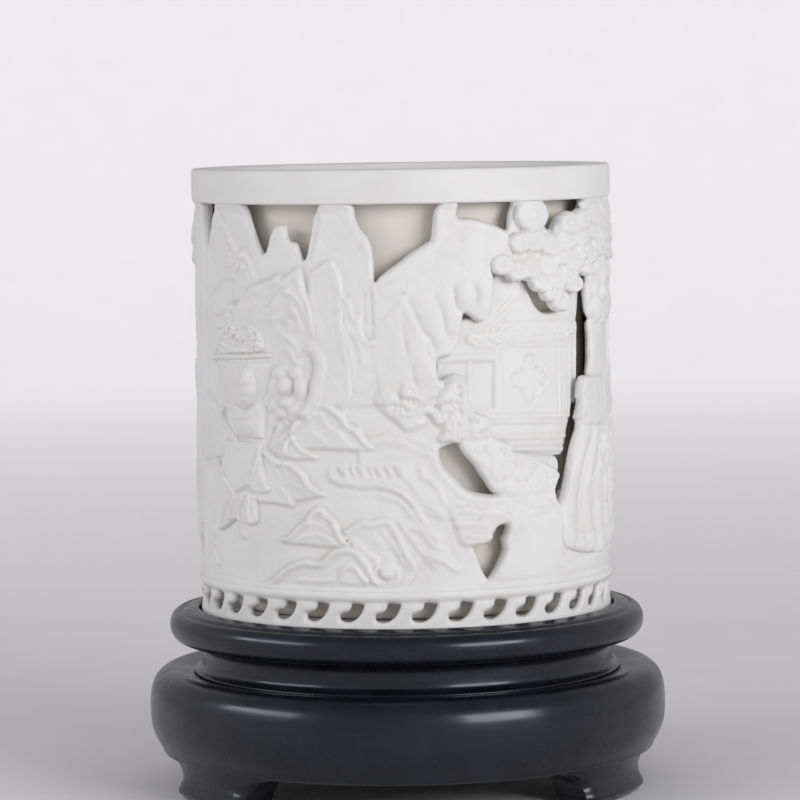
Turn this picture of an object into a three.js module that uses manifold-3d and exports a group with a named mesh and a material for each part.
// Brush pot: a double-walled porcelain pot with a pierced and carved outer wall,
// standing in the recess of a round lacquered stand on three scroll feet.
// Millimetres, +Z up, z = 0 on the table, the front faces -Y.
import * as THREE from 'three';
import { mergeVertices } from 'three/addons/utils/BufferGeometryUtils.js';
import Module from 'manifold-3d';

const wasm = await Module();
wasm.setup();

// Driving dimensions
const FIT_GAP = 0.3;
const ROUND_STEPS = 48;

// Pot
const POT_RADIUS = 61;
const POT_HEIGHT = 130.5;
const RIM_HEIGHT = 9.7;
const RIM_ROUNDING = 1.3;
const DOUBLE_WALL_DEPTH = 8;
const CUP_WALL = 3.2;
const CUP_FLOOR = 3.5;
const BASE_THICKNESS = 3.2;
const SHELL_SETBACK = 1.5;
const SHELL_WALL = 3.3;
const BORDER_SETBACK = 0.7;
const BORDER_WALL = 3.3;
const BORDER_HEIGHT = 12.4;
const BEAD_HEIGHT = 2.4;
const BEAD_BULGE = 0.6;
const HOLE_COUNT = 36;
const HOLE_HEIGHT = 6.1;
const HOLE_BOTTOM = 3.2;
const RELIEF_HEIGHT = 1.2;
const SPRIG_HEIGHT = 1.7;
const FIGURE_HEIGHT = 1.9;
const PAVILION_PLATE = 2.4;
const PAVILION_FRONT = 2;
const SCENE_COUNT = 2;

// Stand
const LIP_HEIGHT = 54;
const RECESS_DEPTH = 2.5;
const RECESS_CLEARANCE = 0.9;
const LIP_WIDTH = 1.9;
const SEAT_RING_OVERHANG = 8.6;
const SEAT_RING_HEIGHT = 10.4;
const SEAT_LEDGE_WIDTH = 8;
const SEAT_BOARD_THICKNESS = 3.6;
const WAIST_INSET = 1.4;
const WAIST_HEIGHT = 8.9;
const WAIST_WALL = 9;
const WAIST_FLARE = 2.4;
const DRUM_OVERHANG = 16.2;
const DRUM_HEIGHT = 22.7;
const DRUM_CREST_RISE = 2.1;
const DRUM_TUCK = 6;
const FOOT_ANGLES = [-58, 62, 182];
const FOOT_TOP_SPAN = 48;
const FOOT_BOTTOM_SPAN = 31;
const FOOT_NECK_INSET = 1.4;
const FOOT_TOE_BULGE = 2.2;
const FOOT_DEPTH = 13;
const DOWEL_RADIUS = 3;
const DOWEL_LENGTH = 15;
const DOWEL_BELOW_DRUM = 6;
const DOWEL_INSET = 6.5;

// Heights and radii worked out from the driving dimensions
const SHELL_RADIUS = POT_RADIUS - SHELL_SETBACK;
const SHELL_BORE = SHELL_RADIUS - SHELL_WALL;
const BORDER_RADIUS = POT_RADIUS - BORDER_SETBACK;
const BORDER_BORE = BORDER_RADIUS - BORDER_WALL;
const CUP_RADIUS = POT_RADIUS - DOUBLE_WALL_DEPTH;
const RECESS_RADIUS = BORDER_RADIUS + RECESS_CLEARANCE;
const LIP_RADIUS = RECESS_RADIUS + LIP_WIDTH;
const SEAT_RING_RADIUS = RECESS_RADIUS + SEAT_RING_OVERHANG;
const WAIST_RADIUS = RECESS_RADIUS - WAIST_INSET;
const WAIST_BORE = WAIST_RADIUS - WAIST_WALL;
const DRUM_RADIUS = WAIST_RADIUS + DRUM_OVERHANG;
const DRUM_BOTTOM_RADIUS = DRUM_RADIUS - DRUM_TUCK;
const FOOT_NECK_RADIUS = DRUM_BOTTOM_RADIUS - FOOT_NECK_INSET;
const FOOT_TOE_RADIUS = FOOT_NECK_RADIUS + FOOT_TOE_BULGE;
const FOOT_BACK_RADIUS = DRUM_BOTTOM_RADIUS - FOOT_DEPTH;
const DOWEL_CIRCLE_RADIUS = DRUM_BOTTOM_RADIUS - DOWEL_INSET;
const SEAT_Z = LIP_HEIGHT - RECESS_DEPTH;
const POT_Z = SEAT_Z + FIT_GAP;
const RIM_TOP = POT_Z + POT_HEIGHT;
const RIM_Z = RIM_TOP - RIM_HEIGHT;
const BORDER_TOP = POT_Z + BORDER_HEIGHT;
const SHELL_Z = BORDER_TOP + FIT_GAP;
const SHELL_TOP = RIM_Z - FIT_GAP;
const SEAT_RING_Z = LIP_HEIGHT - SEAT_RING_HEIGHT;
const WAIST_TOP = SEAT_RING_Z - FIT_GAP;
const WAIST_Z = WAIST_TOP - WAIST_HEIGHT;
const DRUM_TOP = WAIST_Z - FIT_GAP;
const DRUM_CREST = DRUM_TOP + DRUM_CREST_RISE;
const DRUM_Z = DRUM_TOP - DRUM_HEIGHT;
const FOOT_TOP = DRUM_Z - FIT_GAP;
const SCENE_STEP = 360 / SCENE_COUNT;
const SCENE_NAMES = ['front', 'back'];

// Landscape outlines: degrees round the pot from the front, and heights drawn for a wall of
// DRAWN_HEIGHT and stretched to this one. They rise from the drawing's ground line.
const DRAWN_HEIGHT = 107.8;
const DRAWN_GROUND = 10.5;
const DRAWN_RADIUS = 59.5;
const HEIGHT_STRETCH = (SHELL_TOP - SHELL_Z) / DRAWN_HEIGHT;

const SKY_SLOT = [[-73, 119], [-62.6, 119], [-65.5, 112.4], [-69.8, 103.4]];
const SKY_LEFT = [
  [-51.4, 119], [-46.8, 113.6], [-42.6, 104.6], [-38.9, 109.8], [-36.4, 112.6], [-33.5, 111],
  [-30.6, 107.9], [-28.2, 103.1], [-25.4, 111], [-24.1, 119],
];
const SKY_MIDDLE = [
  [-13.4, 119], [-11.6, 111.5], [-8.9, 108.7], [-7.6, 102.5], [-7.2, 96.9], [-4.5, 99.7],
  [0.9, 103.5], [4.9, 106.8], [8.7, 109.9], [9.3, 119],
];
const SKY_RIGHT = [[15.6, 119], [15.6, 114.8], [21.5, 113.8], [29.2, 111], [32, 112.4], [32.4, 119]];
const PINE_SLIT_1 = [[43.1, 114.6], [43.1, 110.3], [46.2, 110.2], [46.3, 114.5]];
const PINE_SLIT_2 = [[51.8, 119], [51.8, 113.5], [59.5, 113.2], [59.6, 119]];
const PAVILION_OPENING = [
  [25.9, 96.8], [28.7, 97.3], [33.4, 95.1], [38.4, 93.5], [43.1, 88.8], [47.8, 86.9], [51.8, 90.1],
  [56.3, 94.2], [63.4, 98.7], [63.1, 89.5], [65.6, 80.8], [66, 69.2], [57.6, 62.6], [58, 54.6],
  [55.2, 49.9], [50.7, 38.9], [47.6, 32.6], [44.8, 36.5], [44.4, 44], [43, 50.4], [12, 50.4],
  [11.3, 62.2], [9.8, 70.6], [10.1, 75.4], [14.8, 76.1], [16.3, 85.9], [18.2, 82.4], [21.1, 84.9],
  [24, 87],
];
const ROCK_HOLE_UPPER = [[9.3, 49.6], [11.4, 44.5], [19, 37.5], [25.7, 36.9], [20.5, 44.2], [14.2, 48.4]];
const ROCK_HOLE_LOWER = [[26.8, 28.4], [23.7, 23.8], [18.3, 22.7], [21.6, 14.9], [25.1, 13], [28.5, 20.1]];
const SKY_OPENINGS = [SKY_SLOT, SKY_LEFT, SKY_MIDDLE, SKY_RIGHT, PINE_SLIT_2];
const WALL_OPENINGS = [PINE_SLIT_1, PAVILION_OPENING, ROCK_HOLE_UPPER, ROCK_HOLE_LOWER];

const CRAG = [
  [-63, 89], [-57.8, 89.6], [-49.1, 91.4], [-41.2, 95.9], [-34.3, 98.8], [-28, 102], [-24.5, 91.9],
  [-22.4, 79.3], [-22.5, 68], [-28.6, 58.1], [-36.5, 57], [-36.5, 87.2], [-52, 87.6], [-63, 87.4],
];
const TALL_PEAK = [
  [-22.9, 117], [-14.5, 117], [-12, 111], [-8.8, 105.9], [-8.2, 97.5], [-7, 87.4], [-6.3, 72.3],
  [-5.6, 65.3], [-21.4, 63.8], [-21.4, 80], [-23.4, 92], [-26.5, 102.6],
];
const ARCH_ROCK = [
  [-5, 96], [0, 99], [6, 104], [12, 109], [22, 108], [25, 104], [24.6, 95.5], [22.6, 88.4],
  [19, 86], [16.5, 89], [14, 80], [9.4, 79], [7, 68], [-3, 64], [-5.4, 80],
];
const FAR_HILLS = [[-22, 52], [-14, 62], [-8, 56], [0, 60], [6, 57], [8.4, 51.2], [-6, 49], [-22, 48]];
const NEAR_HILLS = [
  [-56, 33.4], [-43, 33.4], [-41, 44], [-30, 38], [-18, 31], [-8, 34], [2, 33], [8, 28], [16, 20], [14, 12.8],
  [-20, 12.8], [-56, 12.8],
];
const TERRACE = [[27, 49], [42.6, 49], [43.6, 38], [40, 26], [34, 22], [30, 30], [28, 40]];
const HILL_RELIEFS = [CRAG, TALL_PEAK, ARCH_ROCK, FAR_HILLS, NEAR_HILLS, TERRACE];

const TRUNK = [
  [65, 101], [88, 101], [89, 84], [88, 66], [86, 55], [92, 20], [50, 18], [56, 38], [59, 55], [60, 62],
  [67.5, 69], [67, 82],
];
const PINE_CLUSTERS = [
  { angle: 39.1, height: 113, radius: 4.3 },
  { angle: 32.9, height: 107, radius: 3.7 },
  { angle: 37.9, height: 106.8, radius: 3.8 },
  { angle: 29, height: 101.6, radius: 3.6 },
  { angle: 35.4, height: 100.2, radius: 3.4 },
  { angle: 41, height: 100.8, radius: 3.3 },
  { angle: 46.6, height: 104.9, radius: 4.2 },
  { angle: 48.8, height: 98.9, radius: 3.4 },
  { angle: 47, height: 93.6, radius: 3.8 },
  { angle: 53.6, height: 107.8, radius: 4.6 },
  { angle: 59.4, height: 102.6, radius: 3.8 },
  { angle: 55, height: 101, radius: 3.4 },
  { angle: 66.5, height: 107, radius: 4.6 },
  { angle: 60.5, height: 109, radius: 4.2 },
  { angle: 74, height: 109, radius: 4.6 },
  { angle: 82, height: 108, radius: 4.6 },
];
const CHILD_SHOULDERS = 64;
const CHILD_HEAD_ANGLE = -47.5;
const CHILD_HEAD_RADIUS = 4.2;
const CHILD_NECK_OVERLAP = 0.9;
const CHILD_BODY = [
  [-52, CHILD_SHOULDERS], [-43, CHILD_SHOULDERS], [-41, 60], [-41, 52], [-44, 48], [-43.5, 38], [-45.6, 34.6], [-53, 34.6],
  [-56.5, 38], [-57, 52], [-56.8, 60],
];
const BASKET = [
  [-64.6, 82], [-59, 85.5], [-52, 86.4], [-45, 85.8], [-39.6, 83], [-38, 76.6], [-39.2, 74.6],
  [-40, 67.4], [-42.2, 67.4], [-42.8, 72.8], [-52.2, 72.8], [-53, 65.6], [-61.5, 65.6], [-63, 74.6],
  [-64.8, 76.6],
];
const PAVILION_PLATE_OUTLINE = [
  [7, 47], [7, 79], [20, 80], [24, 84], [37.6, 91.5], [52, 88], [61, 85], [61, 55], [57, 51], [54, 47],
];
const PAVILION_ROOF = [
  [20.6, 82.6], [24, 84.6], [37.4, 90.6], [43, 87], [47.8, 85.2], [52, 85.6], [60.4, 84], [60.4, 79.4],
  [20.6, 79.4],
];
const PAVILION_POSTS = [
  { left: 12.8, right: 14.8, low: 52.4, high: 74.6 },
  { left: 25.4, right: 27.6, low: 52.4, high: 80 },
  { left: 50.8, right: 53, low: 52.4, high: 80 },
  { left: 57.6, right: 60.2, low: 66.4, high: 80 },
];
const PAVILION_FLOOR = [[12.8, 51.4], [12.8, 55.6], [57.2, 55.6], [53, 51.4]];

// Shapes
function toManifold(geometry) {
  geometry.deleteAttribute('normal');
  geometry.deleteAttribute('uv');
  const welded = mergeVertices(geometry, 1e-4);
  const corners = welded.index.array;
  const kept = [];
  for (let i = 0; i < corners.length; i += 3) {
    const [a, b, c] = [corners[i], corners[i + 1], corners[i + 2]];
    if (a !== b && b !== c && c !== a) kept.push(a, b, c);
  }
  const mesh = new wasm.Mesh({
    numProp: 3,
    vertProperties: new Float32Array(welded.attributes.position.array),
    triVerts: new Uint32Array(kept),
  });
  return new wasm.Manifold(mesh);
}

function toGeometry(solid) {
  const mesh = solid.getMesh();
  const geometry = new THREE.BufferGeometry();
  geometry.setAttribute('position', new THREE.BufferAttribute(new Float32Array(mesh.vertProperties), 3));
  geometry.setIndex(new THREE.BufferAttribute(new Uint32Array(mesh.triVerts), 1));
  const flat = geometry.toNonIndexed();
  flat.computeVertexNormals();
  return flat;
}

function turned(profile) {
  const points = profile.map(([radius, height]) => new THREE.Vector2(radius, height));
  points.push(points[0].clone());
  const geometry = new THREE.LatheGeometry(points, ROUND_STEPS);
  geometry.rotateX(Math.PI / 2);
  return toManifold(geometry);
}

function ring(innerRadius, outerRadius, bottom, top) {
  return turned([[innerRadius, bottom], [outerRadius, bottom], [outerRadius, top], [innerRadius, top]]);
}

function cylinder(radius, bottom, top, x, y) {
  const geometry = new THREE.CylinderGeometry(radius, radius, top - bottom, 24);
  geometry.rotateX(Math.PI / 2);
  geometry.translate(x, y, (bottom + top) / 2);
  return toManifold(geometry);
}

// A flat outline, degrees by millimetres, pushed outwards from the pot's axis
function wrappedPrism(outline, innerRadius, outerRadius, turn) {
  const scale = THREE.MathUtils.degToRad(1) * SHELL_RADIUS;
  const shape = new THREE.Shape(outline.map(([angle, height]) => new THREE.Vector2(angle * scale, height)));
  const geometry = new THREE.ExtrudeGeometry(shape, { depth: outerRadius - innerRadius, bevelEnabled: false });
  const position = geometry.attributes.position;
  for (let i = 0; i < position.count; i += 1) {
    const angle = position.getX(i) / SHELL_RADIUS + THREE.MathUtils.degToRad(turn);
    const radius = innerRadius + position.getZ(i);
    position.setXYZ(i, radius * Math.sin(angle), -radius * Math.cos(angle), position.getY(i));
  }
  return toManifold(geometry);
}

function stretched(outline) {
  return outline.map(([angle, height]) => [angle, SHELL_Z + (height - DRAWN_GROUND) * HEIGHT_STRETCH]);
}

// The part of a round wall that lies inside an outline of the landscape
function wallPatch(outline, innerRadius, outerRadius, turn) {
  const prism = wrappedPrism(stretched(outline), innerRadius - 8, outerRadius + 16, turn);
  return ring(innerRadius, outerRadius, POT_Z, RIM_TOP).intersect(prism);
}

function roundOutline({ angle, height, radius }, steps) {
  const outline = [];
  for (let i = 0; i < steps; i += 1) {
    const turn = (i / steps) * Math.PI * 2;
    const degrees = THREE.MathUtils.radToDeg((radius * Math.cos(turn)) / DRAWN_RADIUS);
    outline.push([angle + degrees, height + radius * Math.sin(turn)]);
  }
  return outline;
}

// Pot
function makeInnerCup() {
  const bottom = POT_Z + BASE_THICKNESS + FIT_GAP;
  const top = RIM_Z - FIT_GAP;
  return turned([
    [0, bottom], [CUP_RADIUS, bottom], [CUP_RADIUS, top], [CUP_RADIUS - CUP_WALL, top],
    [CUP_RADIUS - CUP_WALL, bottom + CUP_FLOOR], [0, bottom + CUP_FLOOR],
  ]);
}

function makeBaseDisc() {
  const radius = BORDER_BORE - FIT_GAP;
  return turned([[0, POT_Z], [radius, POT_Z], [radius, POT_Z + BASE_THICKNESS], [0, POT_Z + BASE_THICKNESS]]);
}

function makeRimCollar() {
  const inner = CUP_RADIUS - CUP_WALL;
  const low = RIM_Z;
  const high = RIM_TOP;
  const soft = RIM_ROUNDING;
  return turned([
    [inner, low], [POT_RADIUS - soft * 0.4, low], [POT_RADIUS, low + soft * 0.5], [POT_RADIUS, high - soft],
    [POT_RADIUS - soft * 0.3, high - soft * 0.3], [POT_RADIUS - soft, high], [inner + soft, high],
    [inner + soft * 0.3, high - soft * 0.3], [inner, high - soft],
  ]);
}

function scrollHole(index) {
  const pitch = 360 / HOLE_COUNT;
  const centre = index * pitch;
  const low = POT_Z + HOLE_BOTTOM;
  const high = low + HOLE_HEIGHT;
  const outline = [
    [centre - 3.6, low], [centre - 3.6, low + HOLE_HEIGHT * 0.45], [centre - 1, high], [centre + 3.2, high],
    [centre + 2, low + HOLE_HEIGHT * 0.5],
  ];
  return wrappedPrism(outline.reverse(), BORDER_BORE - 2, BORDER_RADIUS + 4, 0);
}

function makeFootBorder() {
  const bore = BORDER_BORE;
  const beadLow = BORDER_TOP - BEAD_HEIGHT;
  const beadMiddle = BORDER_TOP - BEAD_HEIGHT / 2;
  let border = turned([
    [bore, POT_Z], [BORDER_RADIUS, POT_Z], [BORDER_RADIUS, beadLow],
    [BORDER_RADIUS + BEAD_BULGE, beadMiddle], [BORDER_RADIUS, BORDER_TOP], [bore, BORDER_TOP],
  ]);
  for (let i = 0; i < HOLE_COUNT; i += 1) border = border.subtract(scrollHole(i));
  return border;
}

function makeCarvedShell() {
  let shell = ring(SHELL_BORE, SHELL_RADIUS, SHELL_Z, SHELL_TOP);
  for (let scene = 0; scene < SCENE_COUNT; scene += 1) {
    for (const outline of HILL_RELIEFS) {
      const relief = wallPatch(outline, SHELL_RADIUS - 1, SHELL_RADIUS + RELIEF_HEIGHT, scene * SCENE_STEP);
      shell = shell.add(relief);
    }
  }
  for (let scene = 0; scene < SCENE_COUNT; scene += 1) {
    for (const outline of [...SKY_OPENINGS, ...WALL_OPENINGS]) {
      const turn = scene * SCENE_STEP;
      shell = shell.subtract(wrappedPrism(stretched(outline), SHELL_BORE - 5, SHELL_RADIUS + 12, turn));
    }
  }
  const band = ring(SHELL_BORE - 1, POT_RADIUS + 20, SHELL_Z, SHELL_TOP);
  return shell.intersect(band);
}

function makePavilion(scene) {
  const turn = scene * SCENE_STEP;
  const back = CUP_RADIUS + FIT_GAP;
  const plateFront = Math.min(back + PAVILION_PLATE, SHELL_BORE - FIT_GAP);
  const front = plateFront + PAVILION_FRONT;
  let pavilion = wallPatch(PAVILION_PLATE_OUTLINE, back, plateFront, turn);
  pavilion = pavilion.add(wallPatch(PAVILION_ROOF, plateFront - 0.5, front, turn));
  pavilion = pavilion.add(wallPatch(PAVILION_FLOOR, plateFront - 0.5, front, turn));
  for (const { left, right, low, high } of PAVILION_POSTS) {
    const post = [[left, low], [right, low], [right, high], [left, high]];
    pavilion = pavilion.add(wallPatch(post, plateFront - 0.5, front - 0.6, turn));
  }
  return pavilion;
}

function sprig(outline, height, scene) {
  const seat = SHELL_RADIUS + FIT_GAP;
  return wallPatch(outline, seat, seat + height, scene * SCENE_STEP);
}

function makePineCanopy(scene) {
  let canopy = sprig(roundOutline(PINE_CLUSTERS[0], 12), SPRIG_HEIGHT, scene);
  for (const cluster of PINE_CLUSTERS.slice(1)) {
    canopy = canopy.add(sprig(roundOutline(cluster, 12), SPRIG_HEIGHT, scene));
  }
  return canopy;
}

function makePineTrunk(scene) {
  return sprig(TRUNK, SPRIG_HEIGHT, scene);
}

function makeChild(scene) {
  const height = CHILD_SHOULDERS + CHILD_HEAD_RADIUS - CHILD_NECK_OVERLAP;
  const outline = roundOutline({ angle: CHILD_HEAD_ANGLE, height, radius: CHILD_HEAD_RADIUS }, 14);
  const head = sprig(outline, FIGURE_HEIGHT, scene);
  return head.add(sprig(CHILD_BODY, FIGURE_HEIGHT, scene));
}

function makeBasket(scene) {
  return sprig(BASKET, SPRIG_HEIGHT, scene);
}

// Stand
function makeSeatRing() {
  const ledge = SEAT_Z - SEAT_BOARD_THICKNESS - FIT_GAP;
  const crest = SEAT_RING_RADIUS;
  const lip = LIP_RADIUS;
  const low = SEAT_RING_Z;
  return turned([
    [RECESS_RADIUS - SEAT_LEDGE_WIDTH, low], [crest - 6, low], [crest - 2.6, low + 0.6], [crest - 0.9, low + 2],
    [crest, low + 4.6], [crest - 0.2, low + 6.4], [crest - 0.9, low + 7.7], [crest - 2, low + 8.7],
    [crest - 3.4, low + 9.3], [lip + 1, low + 9.6], [lip, LIP_HEIGHT], [RECESS_RADIUS, LIP_HEIGHT],
    [RECESS_RADIUS, ledge], [RECESS_RADIUS - SEAT_LEDGE_WIDTH, ledge],
  ]);
}

function makeSeatBoard() {
  const radius = RECESS_RADIUS - FIT_GAP;
  const low = SEAT_Z - SEAT_BOARD_THICKNESS;
  return turned([[0, low], [radius, low], [radius, SEAT_Z], [0, SEAT_Z]]);
}

function makeWaistRing() {
  const bore = WAIST_BORE;
  const flare = WAIST_RADIUS + WAIST_FLARE;
  return turned([
    [bore, WAIST_Z], [flare, WAIST_Z], [flare, WAIST_Z + 0.9], [flare - 1.2, WAIST_Z + 1.9],
    [WAIST_RADIUS + 0.2, WAIST_Z + 3.1], [WAIST_RADIUS, WAIST_Z + 5.5], [WAIST_RADIUS + 0.4, WAIST_TOP],
    [bore, WAIST_TOP],
  ]);
}

function footPlace(degrees, radius) {
  const angle = THREE.MathUtils.degToRad(degrees);
  return [radius * Math.sin(angle), -radius * Math.cos(angle)];
}

function dowelHole(degrees) {
  const [x, y] = footPlace(degrees, DOWEL_CIRCLE_RADIUS);
  const low = DRUM_Z - DOWEL_BELOW_DRUM - FIT_GAP;
  return cylinder(DOWEL_RADIUS + FIT_GAP, low, low + DOWEL_LENGTH + FIT_GAP * 2, x, y);
}

function makeDrumRing() {
  const r = DRUM_RADIUS;
  let drum = turned([
    [WAIST_BORE, DRUM_Z], [DRUM_BOTTOM_RADIUS, DRUM_Z], [r - 3.4, DRUM_Z + 1.5], [r - 1.8, DRUM_Z + 3.6],
    [r - 0.7, DRUM_Z + 5.8], [r - 0.1, DRUM_Z + 9], [r, DRUM_Z + 12.1], [r, DRUM_CREST - 9.8], [r - 0.4, DRUM_CREST - 7],
    [r - 1.3, DRUM_CREST - 4.6], [r - 3, DRUM_CREST - 2.4], [r - 5.4, DRUM_CREST - 0.7], [r - 7.6, DRUM_CREST],
    [r - 9.6, DRUM_CREST - 0.5], [WAIST_RADIUS + WAIST_FLARE + 1.2, DRUM_TOP],
    [WAIST_BORE, DRUM_TOP],
  ]);
  for (const degrees of FOOT_ANGLES) drum = drum.subtract(dowelHole(degrees));
  return drum;
}

function makeFoot(degrees) {
  const top = FOOT_TOP;
  const neck = FOOT_NECK_RADIUS;
  const toe = FOOT_TOE_RADIUS;
  const back = FOOT_BACK_RADIUS;
  const body = turned([
    [back + 3, 0], [toe - 3, 0], [toe - 1, 0.9], [toe, 2.8], [toe - 0.4, 4.6], [neck + 0.3, 6.6],
    [neck, 8.6], [DRUM_BOTTOM_RADIUS - 0.4, top], [back, top], [back, 3],
  ]);
  const wide = FOOT_TOP_SPAN / 2;
  const slim = FOOT_BOTTOM_SPAN / 2;
  const outline = [
    [-slim, -1], [slim, -1], [slim - 0.6, 2.4], [slim + 0.6, 6], [slim + 3, 8.8], [wide, top + 1],
    [-wide, top + 1], [-slim - 3, 8.8], [-slim - 0.6, 6], [-slim + 0.6, 2.4],
  ];
  const sides = wrappedPrism(outline, back - 10, toe + 20, degrees);
  return body.intersect(sides).subtract(dowelHole(degrees));
}

function makeDowel(degrees) {
  const [x, y] = footPlace(degrees, DOWEL_CIRCLE_RADIUS);
  const low = DRUM_Z - DOWEL_BELOW_DRUM;
  return cylinder(DOWEL_RADIUS, low, low + DOWEL_LENGTH, x, y);
}

// Materials
const porcelain = { color: 0xe9e6df, roughness: 0.62, metalness: 0 };
const porcelainInside = { color: 0xd8cfc2, roughness: 0.7, metalness: 0 };
const lacquer = { color: 0x17181d, roughness: 0.28, metalness: 0 };
const rawWood = { color: 0xa9825a, roughness: 0.75, metalness: 0 };

const pot = new THREE.Group();
const stand = new THREE.Group();

function addPiece(parent, name, solid, look) {
  const mesh = new THREE.Mesh(toGeometry(solid), new THREE.MeshStandardMaterial(look));
  mesh.name = name;
  parent.add(mesh);
}

addPiece(pot, 'inner_cup', makeInnerCup(), porcelainInside);
addPiece(pot, 'base_disc', makeBaseDisc(), porcelain);
addPiece(pot, 'foot_border', makeFootBorder(), porcelain);
addPiece(pot, 'carved_shell', makeCarvedShell(), porcelain);
addPiece(pot, 'rim_collar', makeRimCollar(), porcelain);
for (let scene = 0; scene < SCENE_COUNT; scene += 1) {
  const side = SCENE_NAMES[scene];
  addPiece(pot, `pavilion_${side}`, makePavilion(scene), porcelain);
  addPiece(pot, `pine_canopy_${side}`, makePineCanopy(scene), porcelain);
  addPiece(pot, `pine_trunk_${side}`, makePineTrunk(scene), porcelain);
  addPiece(pot, `child_figure_${side}`, makeChild(scene), porcelain);
  addPiece(pot, `flower_basket_${side}`, makeBasket(scene), porcelain);
}

addPiece(stand, 'seat_ring', makeSeatRing(), lacquer);
addPiece(stand, 'seat_board', makeSeatBoard(), lacquer);
addPiece(stand, 'waist_ring', makeWaistRing(), lacquer);
addPiece(stand, 'drum_ring', makeDrumRing(), lacquer);
FOOT_ANGLES.forEach((degrees, index) => {
  addPiece(stand, `foot_${index + 1}`, makeFoot(degrees), lacquer);
  addPiece(stand, `foot_dowel_${index + 1}`, makeDowel(degrees), rawWood);
});

const group = new THREE.Group();
group.add(pot, stand);
export default group;
